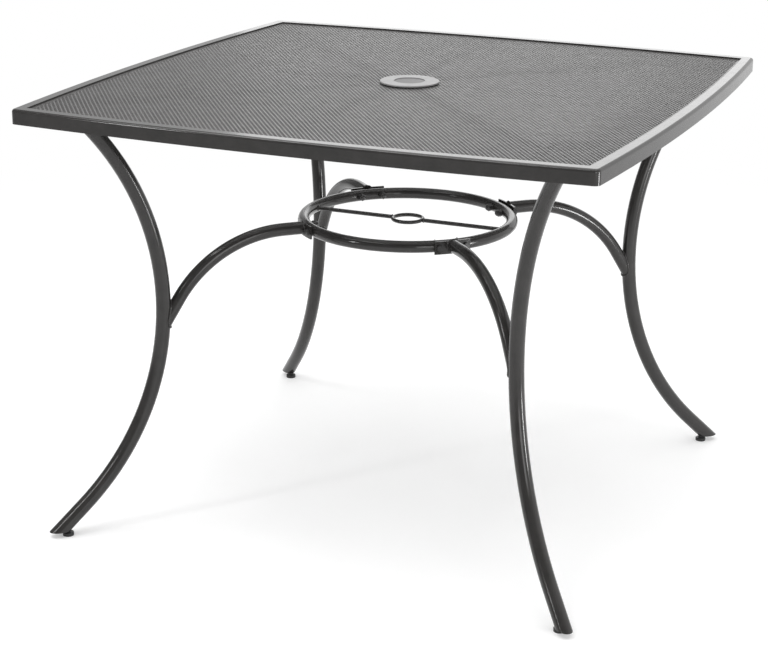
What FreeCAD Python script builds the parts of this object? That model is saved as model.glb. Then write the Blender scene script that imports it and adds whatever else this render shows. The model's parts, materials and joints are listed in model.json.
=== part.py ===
import FreeCAD, Part
import Sketcher
import math
import os

# Square patio table with an umbrella hole: a bowed tube rim round a sunken mesh, four bent legs,
# and four curved braces tied by a ring that also carries the umbrella pole's guide.
# Millimetres and degrees. +Z is up and the origin lies on the floor, under the umbrella hole.
# A corner piece is drawn with +X along its diagonal, then turned about Z to its own corner.

SIZES = {
    # Rim: bowed rectangular tube, mitred at the corners
    "top_height": 737,
    "corner_half": 480,
    "edge_bow": 20,
    "corner_radius": 10,
    "rim_width": 20,
    "rim_depth": 24,
    "rim_wall": 1.2,
    "rim_shoulder": 5,
    # Mesh and the bars and rods under it
    "mesh_recess": 4,
    "mesh_gauge": 1.2,
    "mesh_opening_pitch": 85,
    "mesh_opening_width": 62,
    "strut_gauge": 4,
    "strut_hub_depth": 5.5,
    "cross_rod_diameter": 5,
    "gusset_gauge": 3,
    "gusset_lip": 10,
    # Hub
    "collar_bore": 56,
    "collar_wall": 2,
    "collar_drop": 33,
    "collar_flange_diameter": 94,
    "collar_flange_gauge": 3,
    "umbrella_ring_diameter": 101,
    "umbrella_ring_gauge": 2.5,
    "umbrella_ring_drop": 30,
    "umbrella_ring_edge": 1,
    "umbrella_bore": 50,
    "cap_seat_diameter": 52.5,
    "cap_seat_depth": 3,
    "cap_recess": 1,
    "cap_skirt_drop": 12,
    "cap_skirt_wall": 1.6,
    "cap_edge": 0.6,
    # Legs
    "leg_tube": 25,
    "leg_wall": 1.5,
    "leg_top_inset": 88.4,
    "leg_waist_height": 392,
    "leg_arc_radius": 470,
    "leg_bend_end_height": 50,
    "leg_plate_width": 60,
    "leg_plate_reach": 40,
    "leg_plate_gauge": 3,
    "leg_plate_corner": 6,
    "end_plate_gauge": 2.5,
    # Feet
    "foot_height": 9.5,
    "foot_inset": 13.7,
    "foot_diameter": 19,
    "foot_pad_height": 6,
    "foot_pad_edge": 1.5,
    "foot_neck_diameter": 9,
    "foot_stem_diameter": 6,
    "foot_stem_length": 18,
    # Braces, the ring that ties them, and the pole guide
    "brace_tube": 22,
    "brace_wall": 1.2,
    "brace_lift": 2,
    "brace_bend_reach": 228,
    "brace_arc_radius": 218,
    "brace_arc_angle": 58,
    "ring_tube": 20,
    "ring_wall": 1.2,
    "ring_radius": 180,
    "ring_height": 497,
    "saddle_gauge": 3,
    "saddle_height": 22,
    "saddle_half_angle": 9.5,
    "crossbar_diameter": 7,
    "guide_radius": 26,
    "guide_rod_diameter": 6.5,
    # Fasteners: one size of bolt, in the leg plates and in the ring, which has cap nuts
    "bolt_diameter": 6,
    "bolt_head_across_flats": 10,
    "bolt_head_height": 4,
    "nut_height": 5,
    "bolt_tip_length": 2,
    "cap_nut_across_flats": 12,
    "cap_nut_hex_height": 6,
    "cap_nut_dome_radius": 5.6,
    "cap_nut_bore_depth": 8,
    "leg_bolt_side": 22,
    "ring_bolt_angle": 7,
    # Extra that a leg's tube has before its ends are cut level
    "trim_length": 20,
    "trim_angle": 6,
    # Clearances
    "weld_gap": 0.2,
    "seat_gap": 0.2,
    "bolt_clearance": 0.3,
    "ring_clearance": 0.2,
    "cap_clearance": 0.3,
    "stem_clearance": 0.2,
}

SIDES = {"front": 0, "right": 90, "back": 180, "left": 270}
CORNERS = {"front_right": -45, "back_right": 45, "back_left": 135, "front_left": 225}

# Openings in the mesh's sheet each way; the middle one stays closed for the hub
MESH_OPENINGS = 11


class Size:
    """A size as a number, and as the spreadsheet expression that gives it."""

    def __init__(self, value, text):
        self.value = value
        self.text = text

    def __add__(self, other):
        other = as_size(other)
        return Size(self.value + other.value, f"({self.text} + {other.text})")

    def __radd__(self, other):
        return as_size(other) + self

    def __sub__(self, other):
        other = as_size(other)
        return Size(self.value - other.value, f"({self.text} - {other.text})")

    def __rsub__(self, other):
        return as_size(other) - self

    def __mul__(self, other):
        other = as_size(other)
        return Size(self.value * other.value, f"({self.text} * {other.text})")

    def __rmul__(self, other):
        return as_size(other) * self

    def __truediv__(self, other):
        other = as_size(other)
        return Size(self.value / other.value, f"({self.text} / {other.text})")

    def __neg__(self):
        return Size(-self.value, f"(0 - {self.text})")


def as_size(value):
    if isinstance(value, Size):
        return value
    return Size(value, f"{value:.10g}" if value >= 0 else f"(0 - {-value:.10g})")


def size(name):
    return Size(SIZES[name], "Sizes." + name)


def root(value):
    return Size(math.sqrt(value.value), f"sqrt({value.text})")


def arcsine(value):
    return Size(math.degrees(math.asin(value.value)), f"(asin({value.text}) / 1 deg)")


def sine(angle):
    return Size(math.sin(math.radians(angle.value)), f"sin({angle.text})")


def cosine(angle):
    return Size(math.cos(math.radians(angle.value)), f"cos({angle.text})")


def bind(thing, path, value):
    thing.setExpression(path, as_size(value).text)


def is_zero(value):
    return as_size(value).text == "0"


doc = FreeCAD.newDocument("UmbrellaTable")
sheet = doc.addObject("Spreadsheet::Sheet", "Sizes")
for row, (alias, value) in enumerate(SIZES.items(), start=1):
    sheet.set(f"A{row}", alias)
    sheet.set(f"B{row}", str(value))
    sheet.setAlias(f"B{row}", alias)
doc.recompute()

nodes = []


# Sketches

def new_sketch(body, name, plane, lift=0, turn=None):
    """A sketch on one of the body's own planes, lifted off it or turned about the body's Z."""
    sketch = body.newObject("Sketcher::SketchObject", name)
    support = [feature for feature in body.Origin.OriginFeatures if feature.Role == plane]
    sketch.AttachmentSupport = [(support[0], "")]
    sketch.MapMode = "FlatFace"
    if turn is not None:
        # The YZ plane's own second axis is the body's Z
        spin = FreeCAD.Rotation(FreeCAD.Vector(0, 1, 0), turn.value)
        sketch.AttachmentOffset = FreeCAD.Placement(FreeCAD.Vector(0, 0, 0), spin)
        bind(sketch, "AttachmentOffset.Rotation.Angle", turn)
    if not is_zero(lift):
        bind(sketch, "AttachmentOffset.Base.z", lift)
    return sketch


def hold_point(sketch, geometry, end, x, y):
    """Hold a point of the geometry at x and y from the sketch's origin."""
    for axis, place, other_axis in (("X", x, -2), ("Y", y, -1)):
        place = as_size(place)
        if is_zero(place):
            held = Sketcher.Constraint("PointOnObject", geometry, end, other_axis)
            sketch.addConstraint(held)
            continue
        held = Sketcher.Constraint("Distance" + axis, -1, 1, geometry, end, place.value)
        index = sketch.addConstraint(held)
        bind(sketch, f"Constraints[{index}]", place)


def flat(point):
    return FreeCAD.Vector(as_size(point[0]).value, as_size(point[1]).value, 0)


def draw_side(sketch, first, last, arc):
    """One line, or an arc the short way round its centre; returns its number and its two ends."""
    if arc is None:
        line = Part.LineSegment(flat(first), flat(last))
        return sketch.addGeometry(line, False), 1, 2
    centre = flat(arc[0])
    start = flat(first) - centre
    stop = flat(last) - centre
    turns_left = start.cross(stop).z > 0
    if not turns_left:
        start, stop = stop, start
    circle = Part.Circle(centre, FreeCAD.Vector(0, 0, 1), arc[1].value)
    angles = [math.atan2(spoke.y, spoke.x) for spoke in (start, stop)]
    number = sketch.addGeometry(Part.ArcOfCircle(circle, angles[0], angles[1]), False)
    index = sketch.addConstraint(Sketcher.Constraint("Radius", number, arc[1].value))
    bind(sketch, f"Constraints[{index}]", arc[1])
    return (number, 1, 2) if turns_left else (number, 2, 1)


def outline(sketch, points, arcs=None, closed=True):
    """Lines through the points. arcs gives the centre and radius of the sides that are round."""
    arcs = arcs or {}
    count = len(points) if closed else len(points) - 1
    sides = []
    for side in range(count):
        last = points[(side + 1) % len(points)]
        sides.append(draw_side(sketch, points[side], last, arcs.get(side)))
    for side, (number, start, end) in enumerate(sides):
        hold_point(sketch, number, start, *points[side])
        if side + 1 < count or closed:
            after, after_start, _ = sides[(side + 1) % count]
            joined = Sketcher.Constraint("Coincident", number, end, after, after_start)
            sketch.addConstraint(joined)
    if not closed:
        hold_point(sketch, sides[-1][0], sides[-1][2], *points[-1])
    return len(sides)


def circles(sketch, x, y, *radii):
    """Circles round one point."""
    for radius in radii:
        circle = Part.Circle(flat((x, y)), FreeCAD.Vector(0, 0, 1), radius.value)
        number = sketch.addGeometry(circle, False)
        hold_point(sketch, number, 3, x, y)
        index = sketch.addConstraint(Sketcher.Constraint("Radius", number, radius.value))
        bind(sketch, f"Constraints[{index}]", radius)


def square(sketch, x, y, half):
    """A square round one point."""
    outline(sketch, [
        (x - half, y - half), (x + half, y - half), (x + half, y + half), (x - half, y + half)])


def upright_axis(sketch, x):
    """A construction line at x that a round cut or tube turns about."""
    below = FreeCAD.Vector(x.value, -10, 0)
    above = FreeCAD.Vector(x.value, 10, 0)
    number = sketch.addGeometry(Part.LineSegment(below, above), True)
    hold_point(sketch, number, 1, x, -10)
    hold_point(sketch, number, 2, x, 10)


# Features of one body

def new_body(name, turn=0):
    """A body that becomes one node. It is turned about Z as a whole."""
    body = doc.addObject("PartDesign::Body", name)
    body.Label = name
    body.Placement = FreeCAD.Placement(
        FreeCAD.Vector(0, 0, 0), FreeCAD.Rotation(FreeCAD.Vector(0, 0, 1), turn))
    nodes.append(body)
    return body


def pad(body, sketch, length, symmetric=False):
    feature = body.newObject("PartDesign::Pad", body.Name + "_pad")
    feature.Profile = sketch
    feature.Midplane = symmetric
    bind(feature, "Length", length)
    doc.recompute()
    return feature


def cut(body, sketch, length, upwards=False):
    """Remove the sketch's outline over a length, down its normal or up it."""
    feature = body.newObject("PartDesign::Pocket", body.Name + "_cut")
    feature.Profile = sketch
    feature.Reversed = upwards
    bind(feature, "Length", length)
    check_cut(body, feature)
    return feature


def repeat_cut(body, feature, count, length):
    """Repeat a cut along X and along Y, count times each over a length."""
    grid = body.newObject("PartDesign::MultiTransform", body.Name + "_grid")
    rows = []
    for axis in ("H_Axis", "V_Axis"):
        row = doc.addObject("PartDesign::LinearPattern", f"{body.Name}_{axis}_row")
        row.Direction = (feature.Profile[0], [axis])
        row.Occurrences = count
        bind(row, "Length", length)
        rows.append(row)
    grid.Originals = [feature]
    grid.Transformations = rows
    body.Tip = grid
    doc.recompute()
    return grid


def cut_through(body, sketch):
    """Remove the sketch's outline right through the body, both ways."""
    feature = body.newObject("PartDesign::Pocket", body.Name + "_drilling")
    feature.Profile = sketch
    feature.Type = "ThroughAll"
    feature.Midplane = True
    check_cut(body, feature)
    return feature


def check_cut(body, feature):
    before = feature.BaseFeature.Shape.Volume
    doc.recompute()
    if not feature.Shape.Volume < before - 0.01:
        raise RuntimeError(f"{feature.Name} removes nothing from {body.Label}")


def revolve(body, sketch, angle=360, axis="V_Axis", symmetric=False):
    feature = body.newObject("PartDesign::Revolution", body.Name + "_turned")
    feature.Profile = sketch
    feature.ReferenceAxis = (sketch, [axis])
    feature.Midplane = symmetric
    bind(feature, "Angle", angle)
    doc.recompute()
    return feature


def groove(body, sketch, axis="V_Axis"):
    feature = body.newObject("PartDesign::Groove", body.Name + "_cope")
    feature.Profile = sketch
    feature.ReferenceAxis = (sketch, [axis])
    feature.Angle = 360
    check_cut(body, feature)
    return feature


def tube_section(body, axis, radius, angle, radii):
    """Circles on a plane through a level axis along Y; the plane is turned about the axis."""
    sketch = body.newObject("Sketcher::SketchObject", body.Name + "_section")
    support = [feature for feature in body.Origin.OriginFeatures if feature.Role == "XY_Plane"]
    sketch.AttachmentSupport = [(support[0], "")]
    sketch.MapMode = "FlatFace"
    sketch.AttachmentOffset = FreeCAD.Placement(
        FreeCAD.Vector(0, 0, 0), FreeCAD.Rotation(FreeCAD.Vector(0, 1, 0), angle.value))
    bind(sketch, "AttachmentOffset.Base.x", axis[0])
    bind(sketch, "AttachmentOffset.Base.z", axis[1])
    bind(sketch, "AttachmentOffset.Rotation.Angle", angle)
    circles(sketch, radius, 0, *radii)
    return sketch


def bend(body, axis, radius, first, last, radii):
    """The round part of a bent tube, from one angle to another about a level axis."""
    section = tube_section(body, axis, radius, first, radii)
    revolve(body, section, last - first)


def run(body, axis, radius, angle, length, radii, onwards=False):
    """A straight part of a bent tube, which leaves the bend at an angle, backwards or onwards."""
    section = tube_section(body, axis, radius, angle, radii)
    feature = pad(body, section, length)
    feature.Reversed = onwards
    doc.recompute()


def fillet(body, edges, radius):
    base = body.Tip
    feature = body.newObject("PartDesign::Fillet", body.Name + "_fillet")
    feature.Base = (base, edges)
    bind(feature, "Radius", radius)
    doc.recompute()
    return feature


def hollow_out(body, open_faces, wall):
    """Leave a wall inside the body's skin, open at the faces given."""
    base = body.Tip
    feature = body.newObject("PartDesign::Thickness", body.Name + "_hollow")
    feature.Base = (base, open_faces)
    feature.Reversed = True
    bind(feature, "Value", wall)
    check_cut(body, feature)
    return feature


def edges_where(body, wanted):
    shape = body.Tip.Shape
    return [f"Edge{n}" for n, edge in enumerate(shape.Edges, start=1) if wanted(edge)]


def faces_where(body, wanted):
    shape = body.Tip.Shape
    return [f"Face{n}" for n, face in enumerate(shape.Faces, start=1) if wanted(face)]


def near(first, second):
    return abs(first - second) < 0.01


def is_circle(edge, radius, height):
    """A round edge of one radius that lies level at one height."""
    round_edge = isinstance(edge.Curve, Part.Circle) and near(edge.Curve.Radius, radius)
    return round_edge and all(near(vertex.Z, height) for vertex in edge.Vertexes)


# Sizes that follow from the sheet

top = size("top_height")
weld_gap = size("weld_gap")
seat_gap = size("seat_gap")
rim_bottom = top - size("rim_depth")
mesh_top_height = top - size("mesh_recess")
mesh_bottom = mesh_top_height - size("mesh_gauge")

# Each side's outer edge is one large arc; edge_centre is how far beyond the table's middle it turns
edge_middle = size("corner_half") + size("edge_bow")
edge_radius = (
    size("corner_half") * size("corner_half") + size("edge_bow") * size("edge_bow")
) / (2 * size("edge_bow"))
edge_centre = edge_radius - edge_middle


def corner_place(inset):
    """x (and y) where two neighbouring sides meet, moved in by inset from the outer edges."""
    reach = edge_radius - inset
    return (root(2 * reach * reach - edge_centre * edge_centre) - edge_centre) / 2


mesh_inset = size("rim_width") + weld_gap
diagonal = root(as_size(2))
corner_inside = diagonal * corner_place(mesh_inset)

# The leg's plate hangs under the gusset, and its tube bends about one level axis
leg_top = rim_bottom - size("leg_plate_gauge")
leg_top_reach = corner_inside - size("leg_top_inset")
leg_rise = leg_top - size("leg_waist_height")
leg_arc = size("leg_arc_radius")
leg_centre = leg_top_reach + root(leg_arc * leg_arc - leg_rise * leg_rise)
leg_waist = leg_centre - leg_arc
leg_axis = (leg_centre, size("leg_waist_height"))
leg_top_angle = arcsine(leg_rise / leg_arc)
leg_end_angle = arcsine((size("leg_waist_height") - size("leg_bend_end_height")) / leg_arc)


def end_reach(height):
    """How far out the leg's straight end lies at a height."""
    drop = size("leg_bend_end_height") - height
    bend_end_reach = leg_centre - leg_arc * cosine(leg_end_angle)
    return bend_end_reach + drop * sine(leg_end_angle) / cosine(leg_end_angle)


end_plate_top = size("foot_height") + size("end_plate_gauge")
foot_reach = end_reach(size("foot_height")) - size("foot_inset")
gusset_top = rim_bottom + size("gusset_gauge")
gusset_inner = leg_top_reach - size("leg_plate_reach") / 2 - size("gusset_lip")
bolt_radius = size("bolt_diameter") / 2
bolt_hole_radius = bolt_radius + size("bolt_clearance")

ring_outside = size("ring_radius") + size("ring_tube") / 2
ring_inside = size("ring_radius") - size("ring_tube") / 2
saddle_inside = ring_outside + seat_gap
saddle_outside = saddle_inside + size("saddle_gauge")
ring_height = size("ring_height")
brace_height = ring_height + size("brace_lift")


# The top

def rim_rail(name, turn):
    """One side of the rim: a bowed tube whose ends are mitred and rounded at the corners."""
    body = new_body(name, turn)
    rounding = size("corner_radius")
    rounding_centre = corner_place(rounding)
    stretch = edge_radius / (edge_radius - rounding)
    tangent_x = rounding_centre * stretch
    tangent_y = edge_centre - (rounding_centre + edge_centre) * stretch
    tip = rounding_centre + rounding / diagonal
    inner = corner_place(size("rim_width"))
    side_arc = ((0, edge_centre), edge_radius)
    inner_arc = ((0, edge_centre), edge_radius - size("rim_width"))
    sketch = new_sketch(body, name + "_plan", "XY_Plane", rim_bottom)
    outline(
        sketch,
        [(-tangent_x, tangent_y), (tangent_x, tangent_y), (tip, -tip),
         (inner, -inner), (-inner, -inner), (-tip, -tip)],
        {0: side_arc,
         1: ((rounding_centre, -rounding_centre), rounding),
         3: inner_arc,
         5: ((-rounding_centre, -rounding_centre), rounding)})
    pad(body, sketch, size("rim_depth"))

    def on_shoulder(edge):
        outer = (edge_radius.value, rounding.value)
        return any(is_circle(edge, radius, top.value) for radius in outer)

    fillet(body, edges_where(body, on_shoulder), size("rim_shoulder"))

    def is_mitre(face):
        if not isinstance(face.Surface, Part.Plane):
            return False
        normal = face.normalAt(0, 0)
        return near(abs(normal.x), abs(normal.y)) and near(normal.z, 0)

    hollow_out(body, faces_where(body, is_mitre), size("rim_wall"))


def mesh_top():
    """The mesh as one thin sheet with wide openings, closed round the hub's hole."""
    body = new_body("mesh_top")
    corner = corner_place(mesh_inset)
    radius = edge_radius - mesh_inset
    sketch = new_sketch(body, "mesh_plan", "XY_Plane", mesh_bottom)
    outline(
        sketch,
        [(-corner, -corner), (corner, -corner), (corner, corner), (-corner, corner)],
        {0: ((0, edge_centre), radius), 1: ((-edge_centre, 0), radius),
         2: ((0, -edge_centre), radius), 3: ((edge_centre, 0), radius)})
    pad(body, sketch, size("mesh_gauge"))
    first = (MESH_OPENINGS - 1) / 2 * size("mesh_opening_pitch")
    opening = new_sketch(body, "mesh_opening", "XY_Plane", mesh_top_height)
    square(opening, -first, -first, size("mesh_opening_width") / 2)
    repeat_cut(body, cut(body, opening, size("mesh_gauge")), MESH_OPENINGS, 2 * first)
    hub_patch = new_sketch(body, "hub_patch", "XY_Plane", mesh_bottom)
    square(hub_patch, 0, 0, size("mesh_opening_width") / 2)
    pad(body, hub_patch, size("mesh_gauge"))
    collar_outside = size("collar_bore") / 2 + size("collar_wall")
    hub_hole = new_sketch(body, "hub_hole", "XY_Plane", mesh_top_height)
    circles(hub_hole, 0, 0, collar_outside + weld_gap)
    cut(body, hub_hole, size("mesh_gauge"))


def strut(name, turn):
    """A tapered flat bar on edge, from the hub to a corner, under the mesh."""
    body = new_body(name, turn)
    start = size("collar_bore") / 2 + size("collar_wall") + weld_gap
    end = corner_inside - size("strut_gauge")
    sketch = new_sketch(body, name + "_side", "XZ_Plane")
    outline(sketch, [
        (start, mesh_bottom), (start, mesh_bottom - size("strut_hub_depth")),
        (gusset_inner, gusset_top), (end, gusset_top), (end, mesh_bottom)])
    pad(body, sketch, size("strut_gauge"), symmetric=True)


def cross_rod(name, turn):
    """A round rod from the hub to the middle of one side, under the mesh."""
    body = new_body(name, turn)
    start = size("collar_bore") / 2 + size("collar_wall") + weld_gap
    end = edge_middle - mesh_inset
    radius = size("cross_rod_diameter") / 2
    sketch = new_sketch(body, name + "_section", "YZ_Plane", start)
    circles(sketch, 0, mesh_bottom - radius, radius)
    pad(body, sketch, end - start)


def gusset(name, turn):
    """A triangular plate in a corner of the rim, with the two holes for the leg's bolts."""
    body = new_body(name, turn)
    radius = edge_radius - mesh_inset
    centre = edge_centre / diagonal
    reach = gusset_inner + centre
    half_width = root(radius * radius - reach * reach) - centre
    sketch = new_sketch(body, name + "_plan", "XY_Plane", rim_bottom)
    outline(
        sketch,
        [(corner_inside, 0), (gusset_inner, half_width), (gusset_inner, -half_width)],
        {0: ((-centre, -centre), radius), 2: ((-centre, centre), radius)})
    for side in (1, -1):
        circles(sketch, leg_top_reach, side * size("leg_bolt_side"), bolt_hole_radius)
    pad(body, sketch, size("gusset_gauge"))


# The hub

flange_bottom = mesh_top_height
flange_top = flange_bottom + size("collar_flange_gauge")
umbrella_ring_top = flange_top + size("umbrella_ring_gauge")
cap_seat = umbrella_ring_top - size("cap_seat_depth")


def hub_collar():
    """Steel sleeve through the mesh, with a flange that lies on it."""
    body = new_body("hub_collar")
    bore = size("collar_bore") / 2
    outside = bore + size("collar_wall")
    flange = size("collar_flange_diameter") / 2
    bottom = flange_bottom - size("collar_drop")
    sketch = new_sketch(body, "collar_section", "XZ_Plane")
    outline(sketch, [
        (bore, bottom), (outside, bottom), (outside, flange_bottom),
        (flange, flange_bottom), (flange, flange_top), (bore, flange_top)])
    revolve(body, sketch)


def umbrella_ring():
    """Moulded ring that lines the collar; the umbrella pole passes through its bore."""
    body = new_body("umbrella_ring")
    bore = size("umbrella_bore") / 2
    outside = size("collar_bore") / 2 - size("ring_clearance")
    flange = size("umbrella_ring_diameter") / 2
    seat = size("cap_seat_diameter") / 2
    bottom = flange_top - size("umbrella_ring_drop")
    sketch = new_sketch(body, "umbrella_ring_section", "XZ_Plane")
    outline(sketch, [
        (bore, bottom), (outside, bottom), (outside, flange_top), (flange, flange_top),
        (flange, umbrella_ring_top), (seat, umbrella_ring_top), (seat, cap_seat),
        (bore, cap_seat)])
    revolve(body, sketch)

    def on_rim(edge):
        return is_circle(edge, flange.value, umbrella_ring_top.value)

    fillet(body, edges_where(body, on_rim), size("umbrella_ring_edge"))


def umbrella_cap():
    """Cap that rests on the step in the umbrella ring and lifts out."""
    body = new_body("umbrella_cap")
    disc = size("cap_seat_diameter") / 2 - size("cap_clearance")
    skirt = size("umbrella_bore") / 2 - size("cap_clearance")
    skirt_inside = skirt - size("cap_skirt_wall")
    cap_top = umbrella_ring_top - size("cap_recess")
    bottom = cap_seat - size("cap_skirt_drop")
    sketch = new_sketch(body, "cap_section", "XZ_Plane")
    outline(sketch, [
        (0, cap_top), (0, cap_seat), (skirt_inside, cap_seat), (skirt_inside, bottom),
        (skirt, bottom), (skirt, cap_seat), (disc, cap_seat), (disc, cap_top)])
    revolve(body, sketch)

    def on_rim(edge):
        return is_circle(edge, disc.value, cap_top.value)

    fillet(body, edges_where(body, on_rim), size("cap_edge"))


# Legs and feet

def level_cut(body, name, height, reach, upwards):
    """Cut a leg tube level at a height, taking away what lies above or below it."""
    sketch = new_sketch(body, name, "XY_Plane", height)
    circles(sketch, reach, 0, 4 * size("trim_length"))
    cut(body, sketch, 4 * size("trim_length"), upwards)


leg_end_start = 180 - leg_end_angle
leg_end_run = (size("leg_bend_end_height") + size("trim_length")) / cosine(leg_end_angle)


def leg(name, turn):
    """A bent tube, cut level under its top plate and on its end plate."""
    body = new_body(name, turn)
    outside = size("leg_tube") / 2
    radii = (outside, outside - size("leg_wall"))
    bend(body, leg_axis, leg_arc, leg_end_start, 180 + leg_top_angle + size("trim_angle"), radii)
    run(body, leg_axis, leg_arc, leg_end_start, leg_end_run, radii)
    level_cut(body, name + "_top", leg_top, leg_top_reach, upwards=True)
    level_cut(body, name + "_end", end_plate_top, end_reach(end_plate_top), upwards=False)


def leg_end_plate(name, turn):
    """The plate that closes a leg's lower end, flush with the tube, with the foot's hole."""
    body = new_body(name, turn)
    radii = (size("leg_tube") / 2,)
    run(body, leg_axis, leg_arc, leg_end_start, leg_end_run, radii)
    level_cut(body, name + "_above", end_plate_top, end_reach(end_plate_top), upwards=True)
    level_cut(body, name + "_below", size("foot_height"), end_reach(size("foot_height")),
              upwards=False)
    hole = new_sketch(body, name + "_hole", "XY_Plane", end_plate_top)
    circles(hole, foot_reach, 0,
            size("foot_stem_diameter") / 2 + size("stem_clearance"))
    cut_through(body, hole)


def leg_plate(name, turn):
    """The plate on top of a leg, with two bolt holes."""
    body = new_body(name, turn)
    half_reach = size("leg_plate_reach") / 2
    half_width = size("leg_plate_width") / 2
    sketch = new_sketch(body, name + "_plan", "XY_Plane", leg_top)
    outline(sketch, [
        (leg_top_reach - half_reach, -half_width), (leg_top_reach + half_reach, -half_width),
        (leg_top_reach + half_reach, half_width), (leg_top_reach - half_reach, half_width)])
    for side in (1, -1):
        circles(sketch, leg_top_reach, side * size("leg_bolt_side"), bolt_hole_radius)
    pad(body, sketch, size("leg_plate_gauge"))

    def is_upright(edge):
        straight = isinstance(edge.Curve, Part.Line)
        return straight and near(abs(edge.tangentAt(edge.FirstParameter).z), 1)

    fillet(body, edges_where(body, is_upright), size("leg_plate_corner"))


def foot_glide(name, turn):
    """A round foot on a neck and a screw stem, near the inner side of the leg's end."""
    body = new_body(name, turn)
    pad_radius = size("foot_diameter") / 2
    neck = size("foot_neck_diameter") / 2
    stem = size("foot_stem_diameter") / 2
    pad_top = size("foot_pad_height")
    stem_top = size("foot_height") + size("foot_stem_length")
    sketch = new_sketch(body, name + "_section", "XZ_Plane")
    outline(sketch, [
        (0, 0), (pad_radius, 0), (pad_radius, pad_top), (neck, pad_top),
        (neck, size("foot_height")), (stem, size("foot_height")), (stem, stem_top),
        (0, stem_top)])
    revolve(body, sketch)

    def on_pad_top(edge):
        return is_circle(edge, pad_radius.value, pad_top.value)

    fillet(body, edges_where(body, on_pad_top), size("foot_pad_edge"))
    bind(body, "Placement.Base.x", foot_reach * cosine(as_size(turn)))
    bind(body, "Placement.Base.y", foot_reach * sine(as_size(turn)))


# Braces, ring and pole guide

def brace(name, turn):
    """A tube from its saddle plate, level and then bent down to the leg it is coped to."""
    body = new_body(name, turn)
    radius = size("brace_arc_radius")
    angle = size("brace_arc_angle")
    axis = (size("brace_bend_reach"), brace_height - radius)
    bend_end_reach = axis[0] + radius * sine(angle)
    outside = size("brace_tube") / 2
    radii = (outside, outside - size("brace_wall"))
    bend(body, axis, radius, as_size(-90), angle - 90, radii)
    run(body, axis, radius, as_size(-90), axis[0] - saddle_outside, radii)
    lower_run = (leg_waist - bend_end_reach) / cosine(angle)
    run(body, axis, radius, angle - 90, lower_run, radii, onwards=True)
    leg_skin = new_sketch(body, name + "_leg_skin", "XY_Plane", size("leg_waist_height"))
    circles(leg_skin, leg_waist, 0, size("leg_tube") / 2 + weld_gap)
    upright_axis(leg_skin, leg_centre)
    groove(body, leg_skin, "Axis0")


def bolt_drillings(body, name, middles):
    """Holes for the ring bolts, along the table's radii, either side of each middle angle."""
    for middle in middles:
        for side in (1, -1):
            turn = middle + side * size("ring_bolt_angle")
            sketch = new_sketch(body, f"{name}_hole_{middle}", "YZ_Plane", turn=turn)
            circles(sketch, 0, ring_height, bolt_hole_radius)
            cut_through(body, sketch)


def saddle_plate(name, turn):
    """A curved plate on the brace's end that hugs the outside of the ring."""
    body = new_body(name, turn)
    half = size("saddle_height") / 2
    sketch = new_sketch(body, name + "_section", "XZ_Plane")
    outline(sketch, [
        (saddle_inside, ring_height - half), (saddle_outside, ring_height - half),
        (saddle_outside, ring_height + half), (saddle_inside, ring_height + half)])
    revolve(body, sketch, 2 * size("saddle_half_angle"), symmetric=True)
    bolt_drillings(body, name, [0])


def tube_ring():
    """The ring of round tube that the four braces are bolted to."""
    body = new_body("tube_ring")
    outside = size("ring_tube") / 2
    sketch = new_sketch(body, "ring_section", "XZ_Plane")
    circles(sketch, size("ring_radius"), ring_height, outside, outside - size("ring_wall"))
    revolve(body, sketch)
    # A drilling runs right across the ring, so two corners serve the opposite two as well
    bolt_drillings(body, "ring", [CORNERS["back_right"], CORNERS["back_left"]])


def crossbar(name, turn):
    """A rod from the pole guide to the inside of the ring, coped to the ring's tube."""
    body = new_body(name, turn)
    start = size("guide_radius") + size("guide_rod_diameter") / 2
    sketch = new_sketch(body, name + "_section", "YZ_Plane", start)
    circles(sketch, 0, ring_height, size("crossbar_diameter") / 2)
    pad(body, sketch, size("ring_radius") - start)
    ring_skin = new_sketch(body, name + "_ring_skin", "XZ_Plane")
    circles(ring_skin, size("ring_radius"), ring_height, size("ring_tube") / 2 + weld_gap)
    groove(body, ring_skin)


def pole_guide():
    """A small ring of round rod that the umbrella pole stands in."""
    torus = doc.addObject("Part::Torus", "pole_guide")
    torus.Label = "pole_guide"
    bind(torus, "Radius1", size("guide_radius"))
    bind(torus, "Radius2", size("guide_rod_diameter") / 2)
    bind(torus, "Placement.Base.z", ring_height)
    nodes.append(torus)


# Bolts and nuts: each group is one node of separate solids

INWARDS = FreeCAD.Rotation(FreeCAD.Vector(0, 1, 0), -90)
UPWARDS = FreeCAD.Rotation()


def primitive(kind, name, rotation, base, **sizes):
    shape = doc.addObject(kind, name)
    shape.Placement = FreeCAD.Placement(FreeCAD.Vector(0, 0, 0), rotation)
    for axis, place in zip("xyz", base):
        bind(shape, f"Placement.Base.{axis}", place)
    for prop, value in sizes.items():
        bind(shape, prop, value)
    return shape


def hexagon(name, rotation, base, across_flats, height):
    circumradius = across_flats / root(as_size(3))
    prism = primitive("Part::Prism", name, rotation, base, Circumradius=circumradius, Height=height)
    prism.Polygon = 6
    return prism


def turned(thing, angle):
    """Turn a finished bolt or nut about the table's Z axis."""
    thing.Placement = FreeCAD.Placement(
        FreeCAD.Vector(0, 0, 0), FreeCAD.Rotation(FreeCAD.Vector(0, 0, 1), angle.value))
    bind(thing, "Placement.Rotation.Angle", angle)
    return thing


def shifted(base, rotation, distance):
    """The base point moved along the fastener's own axis, inwards along X or upwards along Z."""
    x, y, z = base
    return [x - distance, y, z] if rotation is INWARDS else [x, y, z + distance]


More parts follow.
